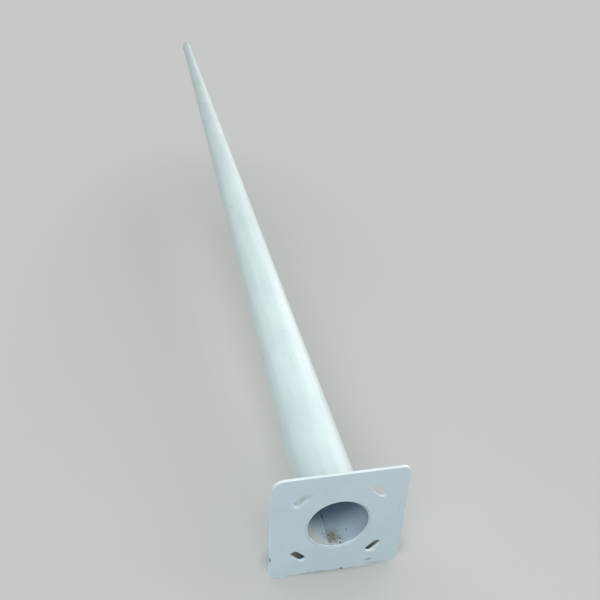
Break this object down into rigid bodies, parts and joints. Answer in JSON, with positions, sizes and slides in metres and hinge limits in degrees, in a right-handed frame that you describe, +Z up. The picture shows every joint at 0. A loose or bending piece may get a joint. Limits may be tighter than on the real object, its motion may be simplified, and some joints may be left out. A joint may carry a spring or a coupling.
{
  "type": "street light pole",
  "caption": "Tapered round steel pole for a street light, with a square slotted base plate, a flush access door and set screws for a lamp bracket at its open top.",
  "frame": {"origin": "centre of the base plate's underside, on the pole's axis", "axes": "+Z up the pole from the base plate to its top, -Y towards the side that faces up in the picture, +Y towards the access door, +X to the right when seen from -Y"},
  "size_m": [0.35, 0.35, 6],
  "materials": {
    "plate_coating": "satin light blue-grey powder coat",
    "shaft_coating": "glossy pale white powder coat",
    "weld_coating": "satin pale powder coat over a weld",
    "bare_steel": "dull galvanised steel",
    "screw_steel": "plain stainless steel"
  },
  "bodies": {
    "root": {"base_plate": "plate_coating", "shaft": "shaft_coating", "root_weld": "weld_coating", "fillet_weld": "weld_coating", "door_cover": "shaft_coating", "door_frame": "bare_steel", "earth_boss": "bare_steel", "lock_bar_lower": "bare_steel", "lock_bar_upper": "bare_steel", "lock_screw_lower": "screw_steel", "lock_screw_upper": "screw_steel", "tip_nut_1": "weld_coating", "tip_nut_2": "weld_coating", "tip_nut_3": "weld_coating", "tip_screw_1": "screw_steel", "tip_screw_2": "screw_steel", "tip_screw_3": "screw_steel"}
  },
  "joints": []
}
